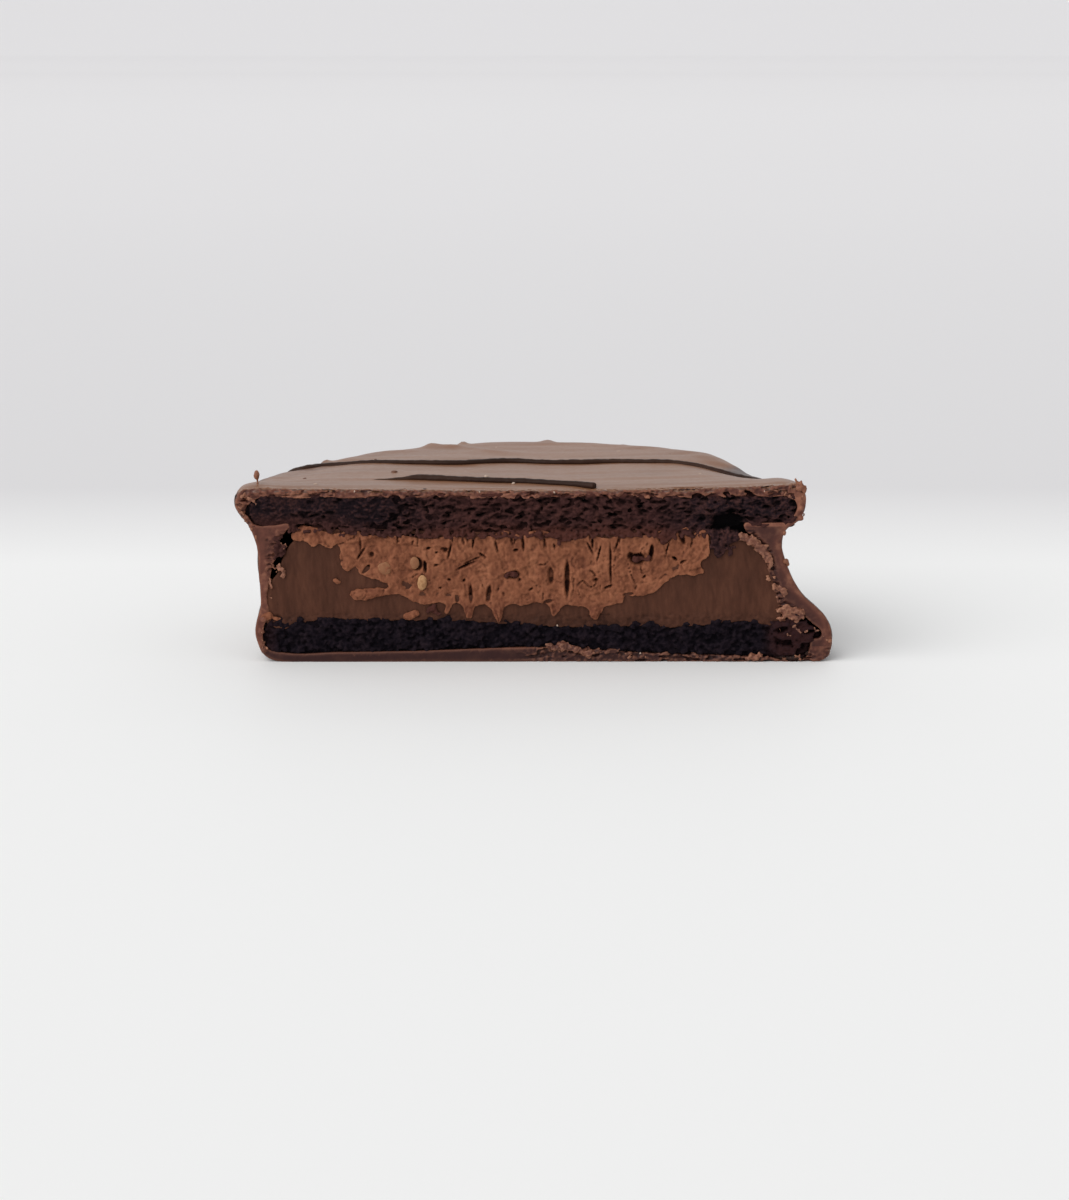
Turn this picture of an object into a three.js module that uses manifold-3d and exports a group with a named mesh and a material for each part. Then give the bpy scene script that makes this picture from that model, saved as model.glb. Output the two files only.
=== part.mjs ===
// Half of an alfajor: two dark cocoa biscuits with a two-tone chocolate filling between them,
// under one thin chocolate coating with two lines of drizzle, cut straight through the middle.
// Lengths are in millimetres. +Z is up, the cut face looks along -Y, and the sole lies at z = 0.
import * as THREE from 'three';
import { mergeVertices } from 'three/addons/utils/BufferGeometryUtils.js';
import Module from 'manifold-3d';

// The coated cookie
const HEIGHT = 21.4;
const SOLE_RADIUS = 34.2;
const FOOT_RADIUS = 35.3;
const FOOT_HEIGHT = 3.4;
const FOOT_BAND = 2.2;
const WAIST_RADIUS = 32.1;
const WAIST_HEIGHT = 13.4;
const RIM_RADIUS = 34.8;
const RIM_HEIGHT = 19.5;
const TOP_EDGE = 1.5;
const TOP_DISH = 0.3;
const RUN_DEPTH = 0.3;
const RUN_HEIGHT = 11.4;
const RUN_SPREAD = 4.5;
const LUMP_DEPTH = 0.22;
const LUMP_SPREAD = 1.8;

// The layers slid over each other: the foot lies to the right and the top to the left
const FOOT_SHIFT = 1.2;
const TOP_SHIFT = -1.7;
const TILT_RIGHT = 0.35;
const TILT_BACK = 0.3;

// The layers inside, and the gap between neighbouring pieces
const GAP = 0.3;
const TOP_COAT = 0.85;
const SOLE_COAT = 1.1;
const BISCUIT_RADIUS = 33.2;
const BISCUIT_EDGE = 1.3;
const BAKED_SLOPE = 6;
const TOP_BISCUIT_THICKNESS = 4.6;
const SOLE_BISCUIT_THICKNESS = 3.7;
const FILLING_FOOT_RADIUS = 30.7;
const FILLING_TOP_RADIUS = 27.6;
const FILLING_BULGE = 1;
const FILLING_FOOT_SHIFT = -1.1;
const FILLING_TOP_SHIFT = -2.2;
const CREAM_RADIUS = 22.6;
const CREAM_FOOT_RADIUS = 8.5;
const CREAM_WALL_DROP = 3;
const POCKET_WIDTH = 2.6;
const POCKET_DROP = 2.2;
const POCKET_OVERLAP = 0.4;

// The drizzle lines on top
const DRIZZLE_RADIUS = 0.6;
const DRIZZLE_FLATTENING = 0.5;
const DRIZZLE_STEPS = 32;
const DRIZZLE_SIDES = 8;
const DRIZZLE_REST = 0.2;

// Fineness: steps around the whole cookie and along one profile
const TURN_STEPS = 80;
const PROFILE_STEPS = 15;

// Heights that follow from the layers
const SOLE_BISCUIT_FROM = SOLE_COAT + GAP;
const SOLE_BISCUIT_TO = SOLE_BISCUIT_FROM + SOLE_BISCUIT_THICKNESS;
const FILLING_FROM = SOLE_BISCUIT_TO + GAP;
const TOP_BISCUIT_TO = HEIGHT - TOP_COAT - GAP;
const TOP_BISCUIT_FROM = TOP_BISCUIT_TO - TOP_BISCUIT_THICKNESS;
const FILLING_TO = TOP_BISCUIT_FROM - GAP;

const wasm = await Module();
wasm.setup();

const at = (x, y) => new THREE.Vector2(x, y);
const mix = THREE.MathUtils.lerp;

// A profile of (radius, height) points turned about the upright axis
function turned(profile) {
  return new THREE.LatheGeometry(profile, TURN_STEPS).rotateX(Math.PI / 2);
}

// Moves every point of a geometry by a function that changes it in place
function reshaped(geometry, change) {
  const places = geometry.attributes.position;
  const point = new THREE.Vector3();
  for (let i = 0; i < places.count; i += 1) {
    change(point.fromBufferAttribute(places, i));
    places.setXYZ(i, point.x, point.y, point.z);
  }
  return geometry;
}

// How far the cookie's axis has slid sideways at a height
function slide(height) {
  const share = THREE.MathUtils.smoothstep(height, FILLING_FROM, FILLING_TO);
  return mix(FOOT_SHIFT, TOP_SHIFT, share);
}

// How far the filling's axis has slid sideways at a height
function fillingSlide(height) {
  return THREE.MathUtils.mapLinear(height, FILLING_FROM, FILLING_TO, FILLING_FOOT_SHIFT, FILLING_TOP_SHIFT);
}

// The upper layers are a little thicker to the right and at the back
function tilt(point) {
  const lift = TILT_RIGHT * point.x / RIM_RADIUS + TILT_BACK * point.y / RIM_RADIUS;
  point.z += lift * point.z / HEIGHT;
}

// Runs of coating down the waist and lumps around the foot
function ripple(angle, height) {
  const waist = Math.exp(-(((height - RUN_HEIGHT) / RUN_SPREAD) ** 2));
  const foot = Math.exp(-(((height - FOOT_HEIGHT) / LUMP_SPREAD) ** 2));
  const runs = Math.sin(11 * angle + 0.6) + 0.6 * Math.sin(19 * angle + 2.1);
  const lumps = Math.sin(14 * angle + 1.3) + 0.6 * Math.sin(31 * angle);
  return RUN_DEPTH * waist * runs + LUMP_DEPTH * foot * lumps;
}

function asSolid(geometry) {
  const bare = geometry.clone().deleteAttribute('normal').deleteAttribute('uv');
  const merged = mergeVertices(bare, 1e-4);
  return new wasm.Manifold(new wasm.Mesh({
    numProp: 3,
    vertProperties: new Float32Array(merged.attributes.position.array),
    triVerts: new Uint32Array(merged.index.array),
  }));
}

function asGeometry(solid) {
  const { vertProperties, triVerts } = solid.getMesh();
  const geometry = new THREE.BufferGeometry();
  geometry.setAttribute('position', new THREE.BufferAttribute(vertProperties, 3));
  geometry.setIndex(new THREE.BufferAttribute(triVerts, 1));
  geometry.computeVertexNormals();
  return geometry;
}

// The knife: everything in front of the plane y = 0 is taken away
const KNIFE_SIZE = 100;
const knifeBlock = new THREE.BoxGeometry(KNIFE_SIZE, KNIFE_SIZE, KNIFE_SIZE);
const knife = asSolid(knifeBlock.translate(0, -KNIFE_SIZE / 2, HEIGHT / 2));

function named(name, solid, color, roughness) {
  const material = new THREE.MeshStandardMaterial({ color, roughness, metalness: 0 });
  const mesh = new THREE.Mesh(asGeometry(solid), material);
  mesh.name = name;
  return mesh;
}

// Outer skin: a wide foot, a waist drawn in beside the filling, and a rounded upper rim
function skin() {
  const side = new THREE.SplineCurve([
    at(SOLE_RADIUS, 0),
    at(FOOT_RADIUS, FOOT_HEIGHT - FOOT_BAND / 2),
    at(FOOT_RADIUS, FOOT_HEIGHT + FOOT_BAND / 2),
    at(mix(FOOT_RADIUS, WAIST_RADIUS, 0.5), mix(FOOT_HEIGHT, WAIST_HEIGHT, 0.4)),
    at(WAIST_RADIUS, WAIST_HEIGHT),
    at(mix(WAIST_RADIUS, RIM_RADIUS, 0.2), mix(WAIST_HEIGHT, RIM_HEIGHT, 0.5)),
    at(RIM_RADIUS, RIM_HEIGHT),
    at(RIM_RADIUS - TOP_EDGE / 3, HEIGHT + TOP_DISH - TOP_EDGE / 4),
    at(RIM_RADIUS - TOP_EDGE, HEIGHT + TOP_DISH),
  ]).getPoints(PROFILE_STEPS);
  const top = [at(RIM_RADIUS / 2, HEIGHT + TOP_DISH / 4), at(0, HEIGHT)];
  return reshaped(turned([at(0, 0), ...side, ...top]), (point) => {
    const angle = Math.atan2(point.y, point.x);
    const reach = Math.hypot(point.x, point.y);
    if (reach > SOLE_RADIUS - TOP_EDGE && point.z > 0) {
      const scale = 1 + ripple(angle, point.z) / reach;
      point.x *= scale;
      point.y *= scale;
    }
    tilt(point);
    point.x += slide(point.z);
  });
}

// Top biscuit: a flat disc whose lower corner is baked away in a long slope
function topBiscuit(grow) {
  const radius = BISCUIT_RADIUS + grow;
  const from = TOP_BISCUIT_FROM - grow;
  const to = TOP_BISCUIT_TO + grow;
  const end = at(radius, to - BISCUIT_EDGE);
  const elbow = at(radius - BAKED_SLOPE / 4, mix(from, to, 0.2));
  const under = new THREE.QuadraticBezierCurve(at(radius - BAKED_SLOPE, from), elbow, end);
  const over = new THREE.QuadraticBezierCurve(end, at(radius, to), at(radius - BISCUIT_EDGE, to));
  const edge = [...under.getPoints(5), ...over.getPoints(3).slice(1)];
  return reshaped(turned([at(0, from), ...edge, at(0, to)]), (point) => {
    tilt(point);
    point.x += TOP_SHIFT;
  });
}

// Bottom biscuit: a thinner disc with both corners rounded
function bottomBiscuit(grow) {
  const radius = BISCUIT_RADIUS + grow;
  const from = SOLE_BISCUIT_FROM - grow;
  const to = SOLE_BISCUIT_TO + grow;
  const [inner, low, high] = [radius - BISCUIT_EDGE, from + BISCUIT_EDGE, to - BISCUIT_EDGE];
  const under = new THREE.QuadraticBezierCurve(at(inner, from), at(radius, from), at(radius, low));
  const over = new THREE.QuadraticBezierCurve(at(radius, high), at(radius, to), at(inner, to));
  const profile = [at(0, from), ...under.getPoints(3), ...over.getPoints(3), at(0, to)];
  return reshaped(turned(profile), (point) => {
    tilt(point);
    point.x += FOOT_SHIFT;
  });
}

// Filling: a mound that narrows upwards between the biscuits
function mound(grow) {
  const belly = mix(FILLING_FOOT_RADIUS, FILLING_TOP_RADIUS, 0.5) + FILLING_BULGE;
  const side = new THREE.QuadraticBezierCurve(
    at(FILLING_FOOT_RADIUS + grow, FILLING_FROM - grow),
    at(belly + grow, mix(FILLING_FROM, FILLING_TO, 0.6)),
    at(FILLING_TOP_RADIUS + grow, FILLING_TO + grow),
  );
  const profile = [at(0, FILLING_FROM - grow), ...side.getPoints(5), at(0, FILLING_TO + grow)];
  return reshaped(turned(profile), (point) => {
    tilt(point);
    point.x += fillingSlide(point.z);
  });
}

// Air pocket left under the overhang of the top biscuit, beside the filling's shoulder
function pocket() {
  const reach = FILLING_TOP_RADIUS + GAP;
  const profile = [
    at(0, FILLING_TO - POCKET_DROP),
    at(reach, FILLING_TO - POCKET_DROP),
    at(reach + POCKET_WIDTH, FILLING_TO),
    at(reach + POCKET_WIDTH, TOP_BISCUIT_FROM + POCKET_OVERLAP),
    at(0, TOP_BISCUIT_FROM + POCKET_OVERLAP),
  ];
  return reshaped(turned(profile), (point) => {
    tilt(point);
    point.x += FILLING_TOP_SHIFT;
  });
}

// Cream core: a bowl of light cream that stands on the bottom biscuit
function creamBowl(grow, below) {
  const wallFoot = at(CREAM_RADIUS + grow, FILLING_TO - CREAM_WALL_DROP);
  const bowl = new THREE.QuadraticBezierCurve(
    at(CREAM_FOOT_RADIUS + grow, FILLING_FROM),
    at(CREAM_RADIUS * 0.8 + grow, FILLING_FROM + 2),
    wallFoot,
  );
  const profile = [
    at(0, FILLING_FROM - below),
    at(CREAM_FOOT_RADIUS + grow, FILLING_FROM - below),
    ...bowl.getPoints(8).slice(below > 0 ? 0 : 1),
    at(CREAM_RADIUS + grow, FILLING_TO + below),
    at(0, FILLING_TO + below),
  ];
  return reshaped(turned(profile), (point) => {
    tilt(point);
    point.x += fillingSlide(point.z);
  });
}

// Height of the coated top at a place, in the cookie's own frame
function topHeight(x, y) {
  const reach = Math.hypot(x - TOP_SHIFT, y);
  const dish = TOP_DISH * Math.min(1, reach / (RIM_RADIUS - TOP_EDGE));
  return HEIGHT + dish + TILT_RIGHT * (x - TOP_SHIFT) / RIM_RADIUS + TILT_BACK * y / RIM_RADIUS;
}

// A line of drizzle: a round thread through the given places, flattened onto the top
function drizzle(places) {
  const route = new THREE.CatmullRomCurve3(places.map(([x, y]) => new THREE.Vector3(x, y, 0)));
  const section = new THREE.Shape();
  section.absarc(0, 0, DRIZZLE_RADIUS, 0, 2 * Math.PI, false);
  const thread = new THREE.ExtrudeGeometry(section, {
    steps: DRIZZLE_STEPS,
    curveSegments: DRIZZLE_SIDES,
    extrudePath: route,
  });
  return reshaped(thread, (point) => {
    const rest = topHeight(point.x, point.y) + DRIZZLE_REST;
    point.z = rest + (point.z + DRIZZLE_RADIUS) * DRIZZLE_FLATTENING;
  });
}

const longDrizzle = [[-30.2, 18.6], [-24.9, 20.9], [-17.2, 20.2], [-9.5, 18.8], [-1.8, 19.8],
  [5.8, 19.1], [13.4, 18.7], [21, 18.2], [25.6, 15], [27.7, 12]];
const shortDrizzle = [[-23.6, 6.8], [-14.4, 8.6], [-7.5, 6.3], [-0.6, 4.4], [5.2, 2.8], [7.6, -0.5]];

const room = asSolid(topBiscuit(GAP))
  .add(asSolid(bottomBiscuit(GAP)))
  .add(asSolid(mound(GAP)))
  .add(asSolid(pocket()));
const coating = asSolid(skin()).subtract(room).subtract(knife);
const upperBiscuit = asSolid(topBiscuit(0)).subtract(knife);
const lowerBiscuit = asSolid(bottomBiscuit(0)).subtract(knife);
const darkFilling = asSolid(mound(0)).subtract(asSolid(creamBowl(GAP, 1))).subtract(knife);
const lightFilling = asSolid(creamBowl(0, 0)).subtract(knife);

const half = new THREE.Group();
half.add(
  named('chocolate_coating', coating, 0x6b4338, 0.45),
  named('top_biscuit', upperBiscuit, 0x35201f, 0.9),
  named('bottom_biscuit', lowerBiscuit, 0x1e151a, 0.9),
  named('dark_filling', darkFilling, 0x4f3229, 0.55),
  named('light_filling', lightFilling, 0x754735, 0.7),
  named('drizzle_long', asSolid(drizzle(longDrizzle)), 0x402a22, 0.35),
  named('drizzle_short', asSolid(drizzle(shortDrizzle)).subtract(knife), 0x392922, 0.35),
);

// The origin is the middle of the footprint, at the height of the sole
const box = new THREE.Box3().setFromObject(half);
const middle = box.getCenter(new THREE.Vector3());
half.position.set(-middle.x, -middle.y, -box.min.z);

export default half;
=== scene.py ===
import math
import random

import bpy
import numpy as np
from mathutils import Euler, Matrix, Vector


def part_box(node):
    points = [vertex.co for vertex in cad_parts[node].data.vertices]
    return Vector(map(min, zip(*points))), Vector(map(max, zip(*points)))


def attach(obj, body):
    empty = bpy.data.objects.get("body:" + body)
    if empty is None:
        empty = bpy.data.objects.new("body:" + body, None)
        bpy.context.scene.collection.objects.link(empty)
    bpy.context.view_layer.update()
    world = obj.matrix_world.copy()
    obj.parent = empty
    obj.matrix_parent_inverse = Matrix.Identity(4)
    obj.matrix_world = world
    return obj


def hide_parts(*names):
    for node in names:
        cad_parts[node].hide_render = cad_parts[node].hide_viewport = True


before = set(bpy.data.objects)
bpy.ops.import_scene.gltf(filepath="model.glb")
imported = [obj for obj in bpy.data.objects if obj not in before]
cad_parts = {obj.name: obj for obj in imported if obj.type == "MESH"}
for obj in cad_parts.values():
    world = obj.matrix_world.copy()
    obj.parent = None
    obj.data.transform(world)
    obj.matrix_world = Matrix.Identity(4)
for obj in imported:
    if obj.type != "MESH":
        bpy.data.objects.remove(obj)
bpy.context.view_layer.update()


# ---------------------------------------------------------------- camera
# The half is seen straight onto its cut and from a little above, through a long lens.
# Places on the cookie are told in millimetres: x along the cut, y behind it, z above the sole.
MM = 0.001
TOP_BISCUIT_AXIS = -1.7

biscuit_low, biscuit_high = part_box("top_biscuit")
cut_y = biscuit_low.y
middle_x = (biscuit_low.x + biscuit_high.x) / 2 - TOP_BISCUIT_AXIS * MM


def spot(x, y, z):
    return Vector((middle_x + x * MM, cut_y + y * MM, z * MM))


CAMERA_BACK = 398.8
CAMERA_HEIGHT = 91.98
CAMERA_TILT = 11.92
LENS = 99.79
bpy.ops.object.select_all(action="DESELECT")
bpy.ops.object.camera_add(
    location=spot(0, -CAMERA_BACK, CAMERA_HEIGHT),
    rotation=(math.radians(90 - CAMERA_TILT), 0, 0),
)
camera = bpy.context.object
camera.data.lens = LENS
camera.data.clip_start = 0.01
bpy.context.scene.camera = camera
bpy.context.scene.view_settings.view_transform = "Standard"


# ---------------------------------------------------------------- floor and light
# A pale table in a pale room, a soft window light from the upper left and a bright panel behind.
# The floor's colour goes from pale to grey behind the cookie, painted shade for the light falling off, and
# its tones further back are painted to even out the panel's light.
FLOOR_SIZE = 60.0
FLOOR_REACH = 1.6
FLOOR_NEAR = (0.90, 0.90, 0.89, 1)
FLOOR_FAR_SHADE = (0.71, 0.70, 0.705, 1)
FLOOR_TONES_WITH_PAINTED_FALLOFF = (
    (0.028, FLOOR_NEAR), (0.066, FLOOR_FAR_SHADE), (0.375, FLOOR_FAR_SHADE), (0.75, (0.664, 0.655, 0.659, 1)),
    (0.86, (0.675, 0.665, 0.67, 1)), (1, (0.838, 0.826, 0.832, 1)),
)


def tone(red, green, blue):
    """A colour from its 0 to 255 screen values."""
    shares = [c / 255 for c in (red, green, blue)]
    return tuple(s / 12.92 if s <= 0.04045 else ((s + 0.055) / 1.055) ** 2.4 for s in shares) + (1,)


def new_finish(name, roughness, gloss):
    """A material with its shader's own roughness and gloss set, with its node tree and shader."""
    material = bpy.data.materials.new(name)
    material.use_nodes = True
    shader = material.node_tree.nodes["Principled BSDF"]
    shader.inputs["Roughness"].default_value = roughness
    shader.inputs["Specular IOR Level"].default_value = gloss
    return material, material.node_tree, shader


def node(tree, kind, inputs, **settings):
    """The outputs of a new node, whose inputs are values or other nodes' outputs."""
    made = tree.nodes.new("ShaderNode" + kind)
    for name, value in settings.items():
        setattr(made, name, value)
    for name, value in inputs.items():
        if isinstance(value, bpy.types.NodeSocket):
            tree.links.new(value, made.inputs[name])
        else:
            made.inputs[name].default_value = value
    return made.outputs


def here(tree):
    return node(tree, "TexCoord", {})["Object"]


def ramp(tree, source, stops):
    """A colour ramp over (place, colour) stops."""
    color = node(tree, "ValToRGB", {"Fac": source})["Color"]
    elements = color.node.color_ramp.elements
    while len(elements) < len(stops):
        elements.new(0.5)
    for element, (place, shade) in zip(elements, stops, strict=True):
        element.position = place
        element.color = shade
    return color


bpy.ops.mesh.primitive_plane_add(size=FLOOR_SIZE, location=(0, 0, 0))
floor = bpy.context.object
floor.name = "table"
finish, tree, shader = new_finish("pale table", 0.6, 0.1)
axes = node(tree, "SeparateXYZ", {"Vector": here(tree)})
reach = node(tree, "MapRange", {"Value": axes["Y"], "From Max": FLOOR_REACH})
tree.links.new(ramp(tree, reach["Result"], FLOOR_TONES_WITH_PAINTED_FALLOFF), shader.inputs["Base Color"])
floor.data.materials.append(finish)

ROOM_COLOR = (0.98, 0.985, 1.0, 1)
ROOM_LIGHT = 0.54
world = bpy.data.worlds.new("pale room")
world.use_nodes = True
room = world.node_tree.nodes["Background"]
room.inputs["Color"].default_value = ROOM_COLOR
room.inputs["Strength"].default_value = ROOM_LIGHT
bpy.context.scene.world = world

WINDOW_FROM = Vector((-0.62, -0.5, 0.62))
WINDOW_LIGHT = 2.0
WINDOW_SPREAD = math.radians(60)
bpy.ops.object.light_add(type="SUN", location=WINDOW_FROM)
window = bpy.context.object
window.name = "window light"
window.data.energy = WINDOW_LIGHT
window.data.angle = WINDOW_SPREAD
window.rotation_euler = WINDOW_FROM.to_track_quat("Z", "Y").to_euler()

PANEL_AT = Vector((0.0, 1.3, 0.6))
PANEL_WIDTH = 2.6
PANEL_HEIGHT = 0.9
PANEL_LIGHT = 4.0
bpy.ops.object.light_add(type="AREA", location=PANEL_AT)
panel = bpy.context.object
panel.name = "bright panel"
panel.data.shape = "RECTANGLE"
panel.data.size = PANEL_WIDTH
panel.data.size_y = PANEL_HEIGHT
panel.data.energy = PANEL_LIGHT
panel.visible_camera = False
panel.rotation_euler = PANEL_AT.to_track_quat("Z", "Y").to_euler()


# ---------------------------------------------------------------- bottom biscuit
# A thin disc of nearly black cocoa biscuit, baked hard and snapped by the knife.
# The cut shows its fine open crumb; the rest of the disc lies hidden between filling and coating.
GRAIN = 0.14
MERGE_WITHIN = 0.002
CURVE_STEPS = 5


def pick(*pieces):
    bpy.ops.object.select_all(action="DESELECT")
    for piece in pieces:
        piece.select_set(True)
    bpy.context.view_layer.objects.active = pieces[0]


def applied(piece, modifier):
    pick(piece)
    bpy.ops.object.modifier_apply(modifier=modifier.name)
    return piece


def edited(piece, *steps):
    """Runs edit-mode steps on a whole piece."""
    pick(piece)
    bpy.ops.object.mode_set(mode="EDIT")
    bpy.ops.mesh.select_all(action="SELECT")
    for step in steps:
        step()
    bpy.ops.object.mode_set(mode="OBJECT")
    return piece


def weld():
    bpy.ops.mesh.remove_doubles(threshold=MERGE_WITHIN * MM)


def face_out():
    bpy.ops.mesh.normals_make_consistent(inside=False)


def drawn(name, outlines, fill, closed, steps):
    """Smooth lines through (x, z) points in millimetres; a third item makes a point a corner."""
    bpy.ops.object.select_all(action="DESELECT")
    bpy.ops.curve.primitive_bezier_circle_add()
    piece = bpy.context.object
    piece.name = name
    drawing = piece.data
    drawing.dimensions = "2D"
    drawing.fill_mode = fill
    drawing.resolution_u = steps
    drawing.splines.clear()
    for outline in outlines:
        spline = drawing.splines.new("BEZIER")
        spline.bezier_points.add(len(outline) - 1)
        spline.use_cyclic_u = closed
        for point, (x, z, *corner) in zip(spline.bezier_points, outline, strict=True):
            point.co = (x * MM, z * MM, 0)
            point.handle_left_type = point.handle_right_type = "VECTOR" if corner else "AUTO"
    return piece


def stood_up(piece, depth):
    """A flat drawing as a mesh that stands at a depth behind the cut."""
    bpy.ops.object.convert(target="MESH")
    piece.rotation_euler.x = math.pi / 2
    piece.location = spot(0, depth, 0)
    bpy.ops.object.transform_apply(location=True, rotation=True, scale=True)
    return piece


def slab(name, front, back, *outlines):
    """A slab that stands along the cut, from front to back. Its first outline is its edge and the
    others are holes."""
    piece = drawn(name, outlines, "BOTH", True, CURVE_STEPS)
    piece.data.extrude = (back - front) / 2 * MM
    return edited(stood_up(piece, (front + back) / 2), weld, face_out)


def joined(piece, *others):
    pick(piece, *others)
    bpy.ops.object.join()
    return piece


def fused(piece, grain=GRAIN, rounds=0):
    """Everything in a piece melted into one skin of even small faces."""
    modifier = piece.modifiers.new("fuse", "REMESH")
    modifier.mode = "VOXEL"
    modifier.voxel_size = grain * MM
    applied(piece, modifier)
    if rounds:
        modifier = piece.modifiers.new("soften", "SMOOTH")
        modifier.iterations = rounds
        applied(piece, modifier)
    return piece


def between(low, high, value):
    """0 below low, 1 above high, and a smooth step from one to the other."""
    share = np.clip((value - low) / (high - low), 0, 1)
    return share * share * (3 - 2 * share)


def below(low, high, value):
    """1 below low, 0 above high, and a smooth step from one to the other."""
    return 1 - between(low, high, value)


NOISE_SIZE = 89
NOISE_SLANT = 0.3
NOISE_START = 400
NOISE_SUM = 1.5


def mottled(x, z, wide, high, seed):
    """Soft seeded noise from 0 to 1 over the cut, in blotches so many millimetres wide and high, with
    others half as large and half as strong over them."""
    total = np.zeros_like(x)
    for turn in range(2):
        table = np.random.default_rng(100 * seed + turn).random((NOISE_SIZE, NOISE_SIZE))
        across = (x + NOISE_SLANT * z) / wide * 2**turn + NOISE_START
        up = (z - NOISE_SLANT * x * high / wide) / high * 2**turn + NOISE_START
        column, row = np.floor(across).astype(int), np.floor(up).astype(int)
        u, v = between(0, 1, across - column), between(0, 1, up - row)

        def line(at):
            left, right = (table[c % NOISE_SIZE, at % NOISE_SIZE] for c in (column, column + 1))
            return left * (1 - u) + right * u

        total += (line(row) * (1 - v) + line(row + 1) * v) / 2**turn
    return total / NOISE_SUM


def measured(piece, rule):
    """A rule of (x, y, z), in the cookie's millimetres, worked out for every corner of a piece."""
    flat = np.empty(len(piece.data.vertices) * 3)
    piece.data.vertices.foreach_get("co", flat)
    x, y, z = ((flat.reshape(-1, 3) - np.array(spot(0, 0, 0))) / MM).T
    return np.clip(rule(x, y, z), 0, 1)


def weigh(piece, rule):
    """A vertex group whose weights follow a rule."""
    weights = measured(piece, rule)
    group = piece.vertex_groups.new(name=f"rule_{len(piece.vertex_groups)}")
    for index in np.flatnonzero(weights > 0.002):
        group.add([int(index)], float(weights[index]), "REPLACE")
    return group.name


def pushed(piece, depth, rule=None, direction="NORMAL", pattern=None, grain=None):
    """Displaces a piece by a depth in millimetres, where a rule says, in a pattern of some grain."""
    modifier = piece.modifiers.new("push", "DISPLACE")
    modifier.direction = direction
    modifier.strength = depth * MM
    modifier.mid_level = 0
    if rule is not None:
        modifier.vertex_group = weigh(piece, rule)
    if pattern is None:
        return applied(piece, modifier)
    bpy.ops.object.select_all(action="DESELECT")
    bpy.ops.object.empty_add()
    measure = bpy.context.object
    measure.scale = [g * MM for g in (grain if isinstance(grain, tuple) else (grain,) * 3)]
    bpy.context.view_layer.update()
    modifier.texture = pattern
    modifier.texture_coords = "OBJECT"
    modifier.texture_coords_object = measure
    modifier.mid_level = 0.5
    applied(piece, modifier)
    bpy.data.objects.remove(measure)
    return piece


def clouds(detail, kind):
    pattern = bpy.data.textures.new("clouds", "CLOUDS")
    pattern.noise_scale = 1
    pattern.noise_depth = detail
    pattern.noise_type = kind
    return pattern


soft_clouds = clouds(2, "SOFT_NOISE")
crumbly_clouds = clouds(3, "HARD_NOISE")
LUMP_SHAPES = 4


def strewn(name, sides, places, fold=0.25):
    """Copies of a few small crumpled lumps, each (place, size, turn), joined into one mesh."""
    bpy.ops.object.select_all(action="DESELECT")
    bpy.ops.mesh.primitive_ico_sphere_add(subdivisions=sides, radius=1)
    lump = bpy.context.object
    lump.name = name
    draw = random.Random(1)
    shapes = []
    for _ in range(LUMP_SHAPES):
        shape = lump.data.copy()
        for corner in shape.vertices:
            corner.co *= 1 + draw.uniform(-fold, fold)
        shapes.append(shape)
    copies = []
    for number, (place, size, turn) in enumerate(places):
        copy = bpy.data.objects.new(name, shapes[number % LUMP_SHAPES].copy())
        copy.data.transform(
            Matrix.Translation(spot(*place)) @ Euler(turn).to_matrix().to_4x4()
            @ Matrix.Diagonal((*(s * MM for s in size), 1))
        )
        bpy.context.collection.objects.link(copy)
        copies.append(copy)
    bpy.data.objects.remove(lump)
    return joined(*copies)


def tinted(piece, rule=lambda x, y, z: 0 * x):
    """Paints a rule on a piece as its tint."""
    tint = piece.data.attributes.new("tint", "FLOAT", "POINT")
    tint.data.foreach_set("value", measured(piece, rule).astype(np.float32))
    return piece


BODY_START = 1.0
BODY_FLATTER = 0.9
BODY_MIDDLE = spot(-1, 0, 10.5)
SHARP_EDGE = math.radians(65)


def body_behind(layer, narrower=0.94):
    """The hidden rest of a layer: a welded copy of its solid that begins a little behind the cut
    and is a little smaller than its face, so that gaps at the cut stay deep."""
    pick(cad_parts[layer])
    bpy.ops.object.duplicate()
    body = bpy.context.object
    body.data.materials.clear()
    for key in list(body.keys()):
        del body[key]

    def slim():
        bpy.ops.transform.resize(value=(narrower, 1, BODY_FLATTER), center_override=BODY_MIDDLE)

    edited(body, weld, slim, face_out)
    return pushed(body, BODY_START, lambda x, y, z: (y < 0.01).astype(float), "Y")


def put(piece, name, finish, slot, *stands_for):
    """A finished piece: named, painted, smooth but for its sharp edges, and fixed to the cookie."""
    piece.name = piece.data.name = name
    piece.data.materials.clear()
    piece.data.materials.append(finish)
    pick(piece)
    bpy.ops.object.shade_smooth_by_angle(angle=SHARP_EDGE)
    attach(piece, "root")
    if stands_for:
        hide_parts(*stands_for)


def noise(tree, place, scale, detail=2):
    return node(tree, "TexNoise", {"Vector": place, "Scale": scale, "Detail": detail})["Fac"]


def blended(tree, share, under, shade):
    """A shade laid over a colour by a share from 0 to 1."""
    return node(tree, "Mix", {"Factor": share, "A": under, "B": tone(*shade)}, data_type="RGBA")["Result"]


def painted_tint(tree):
    return node(tree, "Attribute", {}, attribute_name="tint")["Fac"]


def millimetres(tree, stretch=(1, 1, 1)):
    """Object coordinates counted in millimetres, stretched along the axes."""
    return node(tree, "Mapping", {"Vector": here(tree), "Scale": [1 / MM / s for s in stretch]})["Vector"]


def embossed(tree, shader, height, strength, distance):
    """Fine relief in the finish, to a depth in millimetres."""
    bump = node(tree, "Bump", {"Strength": strength, "Distance": distance * MM, "Height": height})
    tree.links.new(bump["Normal"], shader.inputs["Normal"])


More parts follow.
